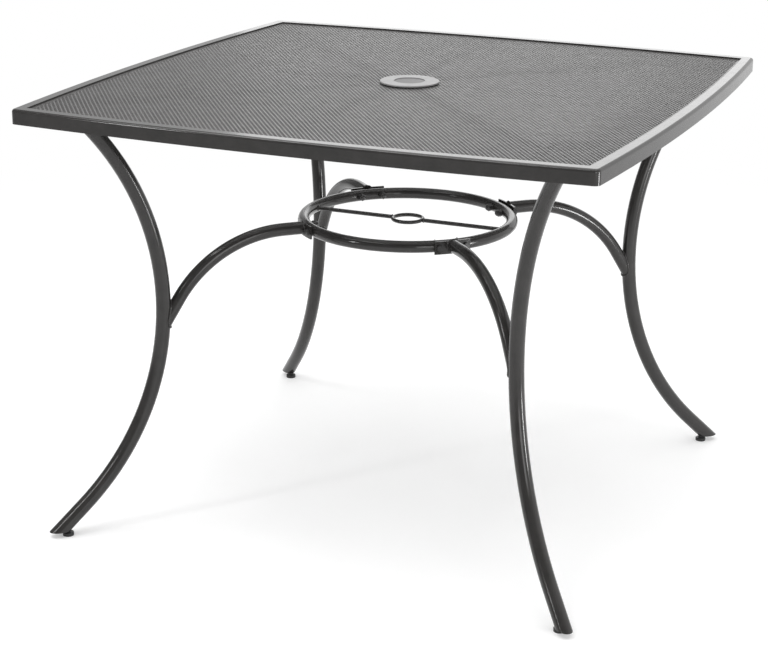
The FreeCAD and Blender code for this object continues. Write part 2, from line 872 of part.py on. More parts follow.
def hex_bolt(name, rotation, seat, shank_length, angle):
    """A bolt whose head's underside is at seat."""
    head_height = size("bolt_head_height")
    head_base = shifted(seat, rotation, -head_height)
    across_flats = size("bolt_head_across_flats")
    head = hexagon(name + "_head", rotation, head_base, across_flats, head_height)
    shank = primitive("Part::Cylinder", name + "_shank", rotation, seat,
                      Radius=bolt_radius, Height=shank_length)
    bolt = doc.addObject("Part::MultiFuse", name)
    bolt.Shapes = [head, shank]
    return turned(bolt, angle)


def bored(name, blank, rotation, base, depth, angle):
    """A nut: its blank with the bolt's hole from the base to a depth."""
    bore = primitive("Part::Cylinder", name + "_bore", rotation, base,
                     Radius=bolt_radius + seat_gap, Height=depth)
    nut = doc.addObject("Part::Cut", name)
    nut.Base = blank
    nut.Tool = bore
    return turned(nut, angle)


def hex_nut(name, rotation, seat, grip, angle):
    """A nut that bears on the far side of the bolt's grip."""
    height = size("nut_height")
    base = shifted(seat, rotation, grip)
    blank = hexagon(name + "_blank", rotation, base, size("bolt_head_across_flats"), height)
    return bored(name, blank, rotation, base, height, angle)


def cap_nut(name, rotation, seat, grip, angle):
    """A domed nut on the far side of the grip, which closes over the bolt's end."""
    hex_height = size("cap_nut_hex_height")
    base = shifted(seat, rotation, grip)
    foot = hexagon(name + "_foot", rotation, base, size("cap_nut_across_flats"), hex_height)
    dome = primitive("Part::Sphere", name + "_dome", rotation,
                     shifted(base, rotation, hex_height), Radius=size("cap_nut_dome_radius"))
    blank = doc.addObject("Part::MultiFuse", name + "_blank")
    blank.Shapes = [foot, dome]
    return bored(name, blank, rotation, base, size("cap_nut_bore_depth"), angle)


def fastener_group(name, make, rotation, seats, length):
    """All bolts of one shank length, or all nuts on one length of grip, as one node."""
    pieces = []
    for corner, turn in CORNERS.items():
        for seat, extra_turn in seats:
            piece_name = f"{name}_{corner}_{len(pieces) % 2}"
            pieces.append(make(piece_name, rotation, seat, length, turn + extra_turn))
    group = doc.addObject("Part::Compound", name)
    group.Label = name
    group.Links = pieces
    nodes.append(group)


def fasteners():
    leg_seats = [
        ([leg_top_reach, side * size("leg_bolt_side"), leg_top], as_size(0)) for side in (1, -1)]
    leg_grip = size("leg_plate_gauge") + size("gusset_gauge")
    leg_shank = leg_grip + size("nut_height") + size("bolt_tip_length")
    fastener_group("leg_bolts", hex_bolt, UPWARDS, leg_seats, leg_shank)
    fastener_group("leg_nuts", hex_nut, UPWARDS, leg_seats, leg_grip)
    # A head's flat face stands off the saddle's round skin by the seat gap, and so does a nut's
    head_seat = saddle_outside + seat_gap
    ring_seats = [
        ([head_seat, as_size(0), ring_height], side * size("ring_bolt_angle"))
        for side in (1, -1)]
    ring_grip = head_seat - (ring_inside - seat_gap)
    ring_shank = ring_grip + size("cap_nut_bore_depth") - seat_gap
    fastener_group("ring_bolts", hex_bolt, INWARDS, ring_seats, ring_shank)
    fastener_group("ring_nuts", cap_nut, INWARDS, ring_seats, ring_grip)


def build():
    for side, turn in SIDES.items():
        rim_rail("rim_rail_" + side, turn)
        cross_rod("cross_rod_" + side, turn)
    mesh_top()
    hub_collar()
    umbrella_ring()
    umbrella_cap()
    for corner, turn in CORNERS.items():
        strut("strut_" + corner, turn)
        gusset("gusset_" + corner, turn)
        leg_plate("leg_plate_" + corner, turn)
        leg("leg_" + corner, turn)
        leg_end_plate("leg_end_plate_" + corner, turn)
        foot_glide("foot_glide_" + corner, turn)
        brace("brace_" + corner, turn)
        saddle_plate("saddle_plate_" + corner, turn)
    tube_ring()
    crossbar("crossbar_right", 0)
    crossbar("crossbar_left", 180)
    pole_guide()
    fasteners()
    doc.recompute()


def check():
    """Stop if anything in the document failed, or if a node isn't whole."""
    for thing in doc.Objects:
        if "Invalid" in thing.State or "Error" in thing.State:
            raise RuntimeError(f"{thing.Label} failed: {thing.State}")
    for node in nodes:
        if node.Shape.isNull() or not node.Shape.isValid():
            raise RuntimeError(f"{node.Label} has no valid shape")
        if not node.Shape.Solids:
            raise RuntimeError(f"{node.Label} has no solid")


def write():
    os.makedirs("parts", exist_ok=True)
    for node in nodes:
        node.Shape.exportStep(f"parts/{node.Label}.step")
        box = node.Shape.BoundBox
        print(f"{node.Label:26} solids {len(node.Shape.Solids)} volume {node.Shape.Volume:12.1f}"
              f"  z {box.ZMin:7.2f} to {box.ZMax:7.2f}")


build()
check()
write()
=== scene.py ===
import json
import math

import bpy
import numpy as np
from mathutils import Matrix, Vector
from mathutils.noise import noise


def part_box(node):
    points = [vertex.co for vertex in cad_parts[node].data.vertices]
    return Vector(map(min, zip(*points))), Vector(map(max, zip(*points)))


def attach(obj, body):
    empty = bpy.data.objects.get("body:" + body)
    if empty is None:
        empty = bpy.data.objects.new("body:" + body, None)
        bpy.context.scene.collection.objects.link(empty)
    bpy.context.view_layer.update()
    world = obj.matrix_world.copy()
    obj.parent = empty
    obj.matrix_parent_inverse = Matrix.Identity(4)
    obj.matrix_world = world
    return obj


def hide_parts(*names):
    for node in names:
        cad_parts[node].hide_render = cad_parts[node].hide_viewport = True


# The looks of a square mesh patio table: open expanded metal, weld beads, coated steel and
# plastic, and the studio round it. Metres, in the CAD frame.

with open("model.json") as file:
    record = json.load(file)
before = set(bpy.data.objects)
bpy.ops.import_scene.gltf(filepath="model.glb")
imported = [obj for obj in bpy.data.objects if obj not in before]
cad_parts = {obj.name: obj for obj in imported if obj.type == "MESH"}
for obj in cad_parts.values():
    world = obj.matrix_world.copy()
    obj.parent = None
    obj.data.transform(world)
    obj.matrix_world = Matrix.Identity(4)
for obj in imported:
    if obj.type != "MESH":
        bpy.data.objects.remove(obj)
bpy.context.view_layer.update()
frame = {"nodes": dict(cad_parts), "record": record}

TABLE = "table"
CORNER_ANGLES = [math.radians(a) for a in (-45, 45, 135, 225)]
SIDE_ANGLES = [math.radians(a) for a in (0, 90, 180, 270)]


# Places that the scene's pieces share with the frame

mesh_low, mesh_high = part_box("mesh_top")
rail_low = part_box("rim_rail_front")[0]
collar_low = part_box("hub_collar")[0]
ring_low, ring_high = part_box("tube_ring")
guide_low, guide_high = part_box("pole_guide")
bar_low, bar_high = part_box("crossbar_right")
gusset_low, gusset_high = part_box("gusset_front_right")
strut_low, strut_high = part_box("strut_front_right")
rod_low, rod_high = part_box("cross_rod_right")

# Sizes, from the boxes where they give them, and otherwise as in the CAD model

CORNER_HALF = 0.480
EDGE_BOW = 0.020
EDGE_RADIUS = (CORNER_HALF ** 2 + EDGE_BOW ** 2) / (2 * EDGE_BOW)
EDGE_CENTRE = EDGE_RADIUS - CORNER_HALF - EDGE_BOW
RIM_WIDTH = 0.020
RIM_BOTTOM = rail_low.z
MESH_LIFT = 0.001
MESH_MIDDLE = (mesh_low.z + mesh_high.z) / 2 + MESH_LIFT

LEG_TUBE_RADIUS = 0.0125
LEG_WAIST = 0.440
LEG_WAIST_HEIGHT = 0.392
LEG_ARC = 0.470
LEG_PLATE_GAUGE = 0.003
LEG_TOP = RIM_BOTTOM - LEG_PLATE_GAUGE
BRACE_TUBE_RADIUS = 0.011
BRACE_HEIGHT = 0.499
BRACE_BEND = 0.228
BRACE_ARC = 0.218
BRACE_ANGLE = math.radians(58)
RING_HEIGHT = (ring_low.z + ring_high.z) / 2
RING_TUBE_RADIUS = (ring_high.z - ring_low.z) / 2
RING_RADIUS = ring_high.x - RING_TUBE_RADIUS
SADDLE_OUTSIDE = 0.1932
GUIDE_ROD_RADIUS = (guide_high.z - guide_low.z) / 2
GUIDE_RADIUS = guide_high.x - GUIDE_ROD_RADIUS
BAR_RADIUS = (bar_high.z - bar_low.z) / 2
ROD_RADIUS = (rod_high.z - rod_low.z) / 2
ROD_HEIGHT = (rod_high.z + rod_low.z) / 2
STRUT_HALF_GAUGE = 0.002


def outline_corner(inset):
    """x (and y) of the corner where two sides meet, moved in from the table's edge."""
    reach = EDGE_RADIUS - inset
    return (math.sqrt(2 * reach ** 2 - EDGE_CENTRE ** 2) - EDGE_CENTRE) / 2


def side_line(inset, steps):
    """Points along the front side from left to right, moved in from its bowed edge."""
    corner = outline_corner(inset)
    reach = EDGE_RADIUS - inset
    xs = np.linspace(-corner, corner, steps + 1)
    return [Vector((x, EDGE_CENTRE - math.sqrt(reach ** 2 - x ** 2), 0)) for x in xs]


def outline_loop(inset, steps):
    """The whole bowed square, moved in from the table's edge."""
    loop = []
    for angle in SIDE_ANGLES:
        turn = Matrix.Rotation(angle, 3, "Z")
        loop += [turn @ point for point in side_line(inset, steps)[:-1]]
    return loop


def leg_reach(height):
    """How far out a leg's centreline lies on its arc, at a height."""
    rise = height - LEG_WAIST_HEIGHT
    return LEG_WAIST + LEG_ARC - math.sqrt(LEG_ARC ** 2 - rise ** 2)


# Materials

def new_material(name):
    """A material with its node tree and its main shader."""
    material = bpy.data.materials.new(name)
    material.use_nodes = True
    tree = material.node_tree
    return material, tree, tree.nodes["Principled BSDF"]


def noise_node(tree, place, scale, detail, roughness=0.5):
    node = tree.nodes.new("ShaderNodeTexNoise")
    node.inputs["Scale"].default_value = scale
    node.inputs["Detail"].default_value = detail
    node.inputs["Roughness"].default_value = roughness
    tree.links.new(place, node.inputs["Vector"])
    return node.outputs["Fac"]


def ramp_between(tree, factor, low, high, first, last):
    """The factor mapped from low..high onto first..last, which are colours or greys."""
    ramp = tree.nodes.new("ShaderNodeValToRGB")
    ramp.color_ramp.elements[0].position = low
    ramp.color_ramp.elements[1].position = high
    ramp.color_ramp.elements[0].color = first
    ramp.color_ramp.elements[1].color = last
    tree.links.new(factor, ramp.inputs["Fac"])
    return ramp.outputs["Color"]


def grey(value):
    return (value, value, value, 1)


def rough_bump(tree, shader, heights):
    """Bumps one after another. Each is a factor, its depth in metres and its strength."""
    normal = None
    for factor, depth, strength in heights:
        bump = tree.nodes.new("ShaderNodeBump")
        bump.inputs["Distance"].default_value = depth
        bump.inputs["Strength"].default_value = strength
        tree.links.new(factor, bump.inputs["Height"])
        if normal is not None:
            tree.links.new(normal, bump.inputs["Normal"])
        normal = bump.outputs["Normal"]
    tree.links.new(normal, shader.inputs["Normal"])


# Noise scales: about as many features as fit in a metre

MOTTLE_SCALE = 28
PATCH_SCALE = 60
PEEL_SCALE = 420
COAT_GRAIN_SCALE = 1500
CLOUD_SCALE = 45
PLASTIC_GRAIN_SCALE = 1100

COAT_ROUGHNESS_SPREAD = 0.035
PLASTIC_ROUGHNESS_SPREAD = 0.05
PEEL_DEPTH = 0.00008
COAT_GRAIN_DEPTH = 0.00003
PLASTIC_GRAIN_DEPTH = 0.00006


def powder_coat(name, dark, light, roughness):
    """Satin powder coat: slightly mottled, with the fine orange peel of melted powder."""
    material, tree, shader = new_material(name)
    place = tree.nodes.new("ShaderNodeTexCoord").outputs["Object"]
    mottle = noise_node(tree, place, MOTTLE_SCALE, 5, 0.6)
    colour = ramp_between(tree, mottle, 0.35, 0.65, dark, light)
    tree.links.new(colour, shader.inputs["Base Color"])
    patches = noise_node(tree, place, PATCH_SCALE, 4)
    spread = COAT_ROUGHNESS_SPREAD
    rough = ramp_between(
        tree, patches, 0.3, 0.7, grey(roughness - spread), grey(roughness + spread))
    tree.links.new(rough, shader.inputs["Roughness"])
    peel = noise_node(tree, place, PEEL_SCALE, 2)
    grain = noise_node(tree, place, COAT_GRAIN_SCALE, 2)
    rough_bump(tree, shader, [(peel, PEEL_DEPTH, 0.35), (grain, COAT_GRAIN_DEPTH, 0.35)])
    return material


def moulded_plastic(name, dark, light, roughness):
    """Moulded plastic with a fine spark-eroded grain."""
    material, tree, shader = new_material(name)
    place = tree.nodes.new("ShaderNodeTexCoord").outputs["Object"]
    cloud = noise_node(tree, place, CLOUD_SCALE, 3)
    colour = ramp_between(tree, cloud, 0.35, 0.65, dark, light)
    tree.links.new(colour, shader.inputs["Base Color"])
    grain = noise_node(tree, place, PLASTIC_GRAIN_SCALE, 2)
    spread = PLASTIC_ROUGHNESS_SPREAD
    rough = ramp_between(
        tree, grain, 0.3, 0.7, grey(roughness - spread), grey(roughness + spread))
    tree.links.new(rough, shader.inputs["Roughness"])
    rough_bump(tree, shader, [(grain, PLASTIC_GRAIN_DEPTH, 0.5)])
    return material


def make_materials():
    """Each material by name, with the darkest and lightest colour of its mottle."""
    return {
        "frame_coat": powder_coat(
            "frame_coat", (0.022, 0.021, 0.020, 1), (0.030, 0.028, 0.027, 1), 0.15),
        # mesh_coat is the frame's dark powder coat made lighter: part is the coat's own colour, the
        # extra lightness is painted sheen standing for the strands' bright grazing reflection
        "mesh_coat": powder_coat(
            "mesh_coat", (0.062, 0.060, 0.059, 1), (0.078, 0.076, 0.075, 1), 0.33),
        "weld_coat": powder_coat(
            "weld_coat", (0.022, 0.021, 0.020, 1), (0.030, 0.028, 0.027, 1), 0.20),
        "bolt_black": powder_coat(
            "bolt_black", (0.026, 0.025, 0.025, 1), (0.038, 0.036, 0.036, 1), 0.30),
        "ring_plastic": moulded_plastic(
            "ring_plastic", (0.20, 0.198, 0.199, 1), (0.23, 0.228, 0.229, 1), 0.40),
        "cap_plastic": moulded_plastic(
            "cap_plastic", (0.105, 0.103, 0.104, 1), (0.125, 0.123, 0.124, 1), 0.50),
        "foot_plastic": moulded_plastic(
            "foot_plastic", (0.012, 0.012, 0.012, 1), (0.018, 0.018, 0.018, 1), 0.40),
    }


materials = make_materials()


def finish_frame():
    """Every CAD node gets the material of its slot."""
    slots = {part["node"]: part["material_slot"] for part in frame["record"]["subparts"]}
    for name, node in frame["nodes"].items():
        node.data.materials.clear()
        node.data.materials.append(materials[slots[name]])


# Pieces made of mesh

def add_piece(name, vertices, faces, material, smooth=False):
    """A mesh piece that rides on the table."""
    mesh = bpy.data.meshes.new(name)
    mesh.from_pydata([tuple(v) for v in vertices], [], faces)
    mesh.validate()
    if smooth:
        mesh.polygons.foreach_set("use_smooth", [True] * len(mesh.polygons))
    piece = bpy.data.objects.new(name, mesh)
    bpy.context.scene.collection.objects.link(piece)
    piece.data.materials.append(material)
    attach(piece, TABLE)
    return piece


# The expanded metal: diamonds with the long way front to back

DIAMOND_HALF = (0.00395, 0.0053)
STRAND_HALF = 0.00118
MESH_GAUGE = 0.0010
MESH_RISE = 0.0003
MESH_MARGIN = 0.0007
DIAMOND_POINTS = 16
BORDER_WIDTH = 0.006
BORDER_GAUGE = 0.0016
BORDER_GAP = 0.0002
BORDER_EASE = 0.0003
BORDER_STEPS = 48
SLEEVE_END_DEPTH = 0.0005


def diamond_centres():
    """Centres of the diamonds inside the rim and clear of the hub, row by row."""
    across, along = DIAMOND_HALF
    table_half = CORNER_HALF + EDGE_BOW
    columns = int(table_half / across) + 1
    rows = int(table_half / along) + 1
    i, j = np.meshgrid(np.arange(-columns, columns + 1), np.arange(-rows, rows + 1))
    even = (i + j) % 2 == 0
    centres = np.column_stack([i[even] * across, j[even] * along])
    limit = EDGE_RADIUS - RIM_WIDTH - MESH_MARGIN
    keep = np.hypot(centres[:, 0], centres[:, 1]) > collar_sleeve_radius() + along
    for dx, dy in ((across, 0), (-across, 0), (0, along), (0, -along)):
        x, y = centres[:, 0] + dx, centres[:, 1] + dy
        for a, b in ((x, y), (x, -y), (y, x), (y, -x)):
            keep &= np.hypot(a, b + EDGE_CENTRE) < limit
    return centres[keep]


def collar_sleeve_radius():
    """The collar's sleeve goes through the mesh; its lowest ring of points gives its radius."""
    points = [v.co for v in frame["nodes"]["hub_collar"].data.vertices]
    return max(math.hypot(p.x, p.y) for p in points if p.z < collar_low.z + SLEEVE_END_DEPTH)


def diamond_rings(centres):
    """Top and bottom corners of each diamond's outer edge and of its hole."""
    across, along = DIAMOND_HALF
    side = math.hypot(across, along)
    shrink = 1 - STRAND_HALF * side / (across * along)
    corners = np.array([(across, 0), (0, along), (-across, 0), (0, -along)])
    rise = np.array([MESH_RISE, 0, -MESH_RISE, 0])
    rings = []
    for level in (MESH_GAUGE / 2, -MESH_GAUGE / 2):
        for scale, lift in ((1, 0), (shrink, 1)):
            xy = centres[:, None, :] + corners[None] * scale
            z = np.broadcast_to(MESH_MIDDLE + level + lift * rise, xy.shape[:2])
            rings.append(np.dstack([xy, z]))
    return np.stack(rings, axis=1).reshape(-1, 3)


def diamond_faces(count):
    """Per diamond: four strand halves on top and four below, and the hole's four walls."""
    outer_top, inner_top, outer_low, inner_low = range(0, DIAMOND_POINTS, 4)
    pattern = []
    for k in range(4):
        m = (k + 1) % 4
        pattern.append((outer_top + k, outer_top + m, inner_top + m, inner_top + k))
        pattern.append((outer_low + m, outer_low + k, inner_low + k, inner_low + m))
        pattern.append((inner_top + k, inner_top + m, inner_low + m, inner_low + k))
    base = np.arange(count)[:, None, None] * DIAMOND_POINTS
    return (base + np.array(pattern)[None]).reshape(-1, 4)


def mesh_panels():
    """The mesh in four pieces, one for each corner."""
    centres = diamond_centres()
    names = {(0, 0): "front_left", (1, 0): "front_right", (0, 1): "back_left", (1, 1): "back_right"}
    for (right, back), name in names.items():
        here = ((centres[:, 0] >= 0) == bool(right)) & ((centres[:, 1] >= 0) == bool(back))
        part = centres[here]
        # The panels take mesh_coat, the coat's colour plus painted sheen
        piece = add_piece(
            "mesh_panel_" + name, diamond_rings(part).tolist(),
            diamond_faces(len(part)).tolist(), materials["mesh_coat"])
        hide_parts("mesh_top")


def mesh_border():
    """The flat strip that the mesh is welded to, all round inside the rim."""
    loops = []
    outer = RIM_WIDTH + BORDER_GAP
    inner = RIM_WIDTH + BORDER_WIDTH
    low = MESH_MIDDLE - BORDER_GAUGE / 2
    high = MESH_MIDDLE + BORDER_GAUGE / 2
    section = [
        (outer, low), (outer, high), (inner - BORDER_EASE, high),
        (inner, high - BORDER_EASE), (inner, low)]
    for inset, z in section:
        loops.append([Vector((p.x, p.y, z)) for p in outline_loop(inset, BORDER_STEPS)])
    vertices, faces = loop_skin(loops)
    # The border takes mesh_coat, the coat's colour plus painted sheen
    piece = add_piece("mesh_border", vertices, faces, materials["mesh_coat"])
    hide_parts("mesh_top")


def loop_skin(loops):
    """Quads between closed loops of the same length, the last joined to the first."""
    count = len(loops[0])
    vertices = [point for loop in loops for point in loop]
    faces = []
    for level in range(len(loops)):
        above = (level + 1) % len(loops)
        for k in range(count):
            m = (k + 1) % count
            faces.append((level * count + k, level * count + m,
                          above * count + m, above * count + k))
    return vertices, faces


# Weld beads. Each kind has its radius and the first of its seeds.

BEADS = {
    "brace_leg": (0.0019, 0),
    "leg_top": (0.0018, 10),
    "saddle": (0.0015, 20),
    "bar_ring": (0.0013, 30),
    "bar_guide": (0.0012, 40),
    "gusset_right": (0.0017, 50),
    "gusset_left": (0.0017, 60),
    "rod": (0.0013, 70),
    "strut": (0.0014, 80),
}
BEAD_SIDES = 10
RIPPLE_LENGTH = 0.0022
RIPPLE_SIZE = 0.10
LUMP_SIZE = 0.22
LUMPS_PER_METRE = 160
SEED_STEP = 7.3
END_SIZE = 0.15
END_GROWTH = 6
SEAM_GAP = 0.0004
LEG_TOP_SEAM_DROP = 0.0008
TOUCH_GAP = 0.0006
LEAST_STEP = 0.0001
MOST_STEPS = 200
GUSSET_END_GAP = 0.006
STRUT_END_GAP = 0.001
BAR_SEAM_SHARE = 0.9

BRACE_SEAM_POINTS = 60
LEG_SEAM_POINTS = 50
SADDLE_SEAM_POINTS = 40
ROD_SEAM_POINTS = 30
GUSSET_SEAM_STEPS = 800
STRUT_SEAM_POINTS = 14


def weld_bead(name, kind, number, path, closed=True):
    """A bead along the path, with the ripples and lumps of a hand weld."""
    radius, first_seed = BEADS[kind]
    seed = first_seed + number
    around = BEAD_SIDES
    vertices, faces = [], []
    count = len(path)
    run = 0.0
    for k, point in enumerate(path):
        before = path[k - 1] if closed or k > 0 else point
        after = path[(k + 1) % count] if closed or k < count - 1 else point
        along = (after - before).normalized()
        if k:
            run += (point - path[k - 1]).length
        ripple = 1 + RIPPLE_SIZE * math.sin(run / RIPPLE_LENGTH * 2 * math.pi)
        lump_place = Vector((seed * SEED_STEP, 0, 0)) + point * LUMPS_PER_METRE
        lump = 1 + LUMP_SIZE * noise(lump_place)
        taper = 1
        if not closed:
            to_end = min(k, count - 1 - k) / max(1, count - 1)
            taper = math.sqrt(min(1, END_SIZE + to_end * END_GROWTH))
        size = radius * ripple * lump * taper
        side = along.orthogonal().normalized()
        up = along.cross(side)
        for a in range(around):
            angle = 2 * math.pi * a / around
            vertices.append(point + (side * math.cos(angle) + up * math.sin(angle)) * size)
    rings = count if closed else count - 1
    for k in range(rings):
        first, second = k * around, ((k + 1) % count) * around
        offset = best_turn(vertices, first, second, around)
        for a in range(around):
            b = (a + 1) % around
            faces.append((first + a, first + b,
                          second + (b + offset) % around, second + (a + offset) % around))
    if not closed:
        faces.append(tuple(range(around - 1, -1, -1)))
        last = (count - 1) * around
        faces.append(tuple(last + a for a in range(around)))
    add_piece(name, vertices, faces, materials["weld_coat"], smooth=True)


def best_turn(vertices, first, second, around):
    """How far the second ring is turned against the first, in points."""
    start = vertices[first]
    gaps = [(vertices[second + a] - start).length for a in range(around)]
    return gaps.index(min(gaps))


def turned(points, angle):
    """The points turned about the table's middle."""
    turn = Matrix.Rotation(angle, 3, "Z")
    return [turn @ point for point in points]


def brace_to_leg():
    """Where the brace's straight lower run meets the leg's tube, on the diagonal to +X."""
    direction = Vector((math.cos(BRACE_ANGLE), 0, -math.sin(BRACE_ANGLE)))
    start = Vector((BRACE_BEND + BRACE_ARC * math.sin(BRACE_ANGLE), 0,
                    BRACE_HEIGHT - BRACE_ARC + BRACE_ARC * math.cos(BRACE_ANGLE)))
    side = Vector((0, 1, 0))
    up = direction.cross(side)
    centre = Vector((LEG_WAIST + LEG_ARC, 0, LEG_WAIST_HEIGHT))
    points = []
    reach = BRACE_TUBE_RADIUS + SEAM_GAP
    for k in range(BRACE_SEAM_POINTS):
        angle = 2 * math.pi * k / BRACE_SEAM_POINTS
        point = start + (side * math.cos(angle) + up * math.sin(angle)) * reach
        for _ in range(MOST_STEPS):
            radial = Vector((point.x - centre.x, 0, point.z - centre.z)).length - LEG_ARC
            gap = math.hypot(radial, point.y) - LEG_TUBE_RADIUS
            if gap < TOUCH_GAP:
                break
            point = point + direction * max(gap / 2, LEAST_STEP)
        points.append(point)
    return points


def circle(centre, axis, radius, steps):
    """Points round a circle that is square to its axis."""
    side = axis.orthogonal().normalized()
    up = axis.cross(side)
    angles = [2 * math.pi * k / steps for k in range(steps)]
    return [centre + (side * math.cos(a) + up * math.sin(a)) * radius for a in angles]


def leg_top_line():
    """Round the leg's tube just under its plate; the tube is leaning, so this is an ellipse."""
    reach = leg_reach(LEG_TOP)
    lean = math.asin((LEG_TOP - LEG_WAIST_HEIGHT) / LEG_ARC)
    short_half = LEG_TUBE_RADIUS + SEAM_GAP
    long_half = short_half / math.cos(lean)
    height = LEG_TOP - LEG_TOP_SEAM_DROP
    angles = [2 * math.pi * k / LEG_SEAM_POINTS for k in range(LEG_SEAM_POINTS)]
    return [Vector((reach + long_half * math.cos(a), short_half * math.sin(a), height))
            for a in angles]


def leg_and_ring_seams():
    """Where braces, legs and saddle plates are welded, and the crossbars' ends."""
    across = Vector((1, 0, 0))
    joint = brace_to_leg()
    top = leg_top_line()
    saddle_middle = Vector((SADDLE_OUTSIDE, 0, BRACE_HEIGHT))
    saddle = circle(saddle_middle, across, BRACE_TUBE_RADIUS, SADDLE_SEAM_POINTS)
    for k, angle in enumerate(CORNER_ANGLES):
        weld_bead(f"weld_brace_leg_{k}", "brace_leg", k, turned(joint, angle))
        weld_bead(f"weld_leg_top_{k}", "leg_top", k, turned(top, angle))
        weld_bead(f"weld_saddle_{k}", "saddle", k, turned(saddle, angle))
    outer_middle = Vector((RING_RADIUS - RING_TUBE_RADIUS, 0, RING_HEIGHT))
    inner_middle = Vector((GUIDE_RADIUS + GUIDE_ROD_RADIUS, 0, RING_HEIGHT))
    outer = circle(outer_middle, across, BAR_RADIUS + SEAM_GAP, ROD_SEAM_POINTS)
    inner = circle(inner_middle, across, BAR_RADIUS * BAR_SEAM_SHARE, ROD_SEAM_POINTS)
    for k, angle in enumerate((0, math.pi)):
        weld_bead(f"weld_bar_ring_{k}", "bar_ring", k, turned(outer, angle))
        weld_bead(f"weld_bar_guide_{k}", "bar_guide", k, turned(inner, angle))


def gusset_seams():
    """Along the rim's inner wall, under both edges of every corner plate."""
    first = gusset_low.x + GUSSET_END_GAP
    last = gusset_high.x - GUSSET_END_GAP
    line = [Vector((point.x, point.y, RIM_BOTTOM))
            for point in side_line(RIM_WIDTH, GUSSET_SEAM_STEPS) if first < point.x < last]
    mirrored = [Vector((-point.x, point.y, point.z)) for point in reversed(line)]
    for k, angle in enumerate(SIDE_ANGLES):
        weld_bead(f"weld_gusset_{k}_right", "gusset_right", k, turned(line, angle), closed=False)
        weld_bead(f"weld_gusset_{k}_left", "gusset_left", k, turned(mirrored, angle), closed=False)


def under_top_seams():
    """Where the rods and the flat struts meet the hub's sleeve, and the rods meet the rim."""
    hub = collar_sleeve_radius()
    across = Vector((1, 0, 0))
    for k, angle in enumerate(SIDE_ANGLES):
        for end, reach in (("hub", hub), ("rim", rod_high.x)):
            ring = circle(Vector((reach, 0, ROD_HEIGHT)), across, ROD_RADIUS, ROD_SEAM_POINTS)
            weld_bead(f"weld_rod_{end}_{k}", "rod", k, turned(ring, angle))
    heights = np.linspace(
        strut_low.z + STRUT_END_GAP, strut_high.z - STRUT_END_GAP, STRUT_SEAM_POINTS)
    for k, angle in enumerate(CORNER_ANGLES):
        for name, side in (("left", 1), ("right", -1)):
            seam = [Vector((hub + SEAM_GAP, side * STRUT_HALF_GAUGE, z)) for z in heights]
            weld_bead(f"weld_strut_{name}_{k}", "strut", k, turned(seam, angle), closed=False)


# Studio

CAMERA_PLACE = Vector((1.221168, -3.00576, 1.364544))
CAMERA_YAW = -0.3981
CAMERA_PITCH = 0.3158
CAMERA_ROLL = 0.009
FOCAL_PIXELS = 1937.86
IMAGE_WIDTH = 768
SENSOR_WIDTH = 36
CLIP_END = 60


def add_camera():
    """The camera where the photograph was taken from. Its turns are in radians."""
    data = bpy.data.cameras.new("camera")
    data.sensor_fit = "HORIZONTAL"
    data.sensor_width = SENSOR_WIDTH
    data.lens = FOCAL_PIXELS / IMAGE_WIDTH * SENSOR_WIDTH
    data.clip_end = CLIP_END
    camera = bpy.data.objects.new("camera", data)
    bpy.context.scene.collection.objects.link(camera)
    level = math.cos(CAMERA_PITCH)
    forward = Vector((
        math.sin(CAMERA_YAW) * level, math.cos(CAMERA_YAW) * level, -math.sin(CAMERA_PITCH)))
    right = Vector((math.cos(CAMERA_YAW), -math.sin(CAMERA_YAW), 0))
    up = right.cross(forward)
    turned_right = right * math.cos(CAMERA_ROLL) + up * math.sin(CAMERA_ROLL)
    turned_up = turned_right.cross(forward)
    axes = Matrix((turned_right, turned_up, -forward)).transposed()
    camera.matrix_world = Matrix.Translation(CAMERA_PLACE) @ axes.to_4x4()
    bpy.context.scene.camera = camera


def map_range(tree, value, low, high, first, last, smooth=False):
    """The value mapped from low..high onto first..last, and held at its ends."""
    node = tree.nodes.new("ShaderNodeMapRange")
    if smooth:
        node.interpolation_type = "SMOOTHSTEP"
    ends = {"From Min": low, "From Max": high, "To Min": first, "To Max": last}
    for name, number in ends.items():
        node.inputs[name].default_value = number
    tree.links.new(value, node.inputs["Value"])
    return node.outputs["Result"]


def math_node(tree, operation, first, second):
    """Two values put together. Each is a node's output or a number."""
    node = tree.nodes.new("ShaderNodeMath")
    node.operation = operation
    for socket, value in zip(node.inputs, (first, second)):
        if isinstance(value, (int, float)):
            socket.default_value = value
        else:
            tree.links.new(value, socket)
    return node.outputs[0]


BRIGHT_SIDE = (0.6, 0.8, 0.0)


def towards_bright_side(tree, place):
    """How far a point or a direction lies towards the studio's white side."""
    node = tree.nodes.new("ShaderNodeVectorMath")
    node.operation = "DOT_PRODUCT"
    tree.links.new(place, node.inputs[0])
    node.inputs[1].default_value = BRIGHT_SIDE
    return node.outputs["Value"]


def seen_level(tree, gloss_level, other_level):
    """White for the eye, one level for a gloss, and one for the light that falls on things."""
    path = tree.nodes.new("ShaderNodeLightPath")
    gloss = path.outputs["Is Glossy Ray"]
    rest = math_node(tree, "SUBTRACT", 1, gloss)
    lighting = math_node(tree, "ADD", math_node(tree, "MULTIPLY", gloss, gloss_level),
                         math_node(tree, "MULTIPLY", rest, other_level))
    return math_node(tree, "MAXIMUM", path.outputs["Is Camera Ray"], lighting)


FLOOR_HALF = 30
FLOOR_LIT_REACH = 1.0
FLOOR_WHITE_REACH = 2.6
FLOOR_LIFT = 0.29
FLOOR_COLOUR = (0.78, 0.78, 0.78, 1)
FLOOR_ROUGHNESS = 0.95
DIM_FLOOR_LEVEL = 0.0
DIM_FLOOR_END = -1.6
BRIGHT_FLOOR_END = 0.2


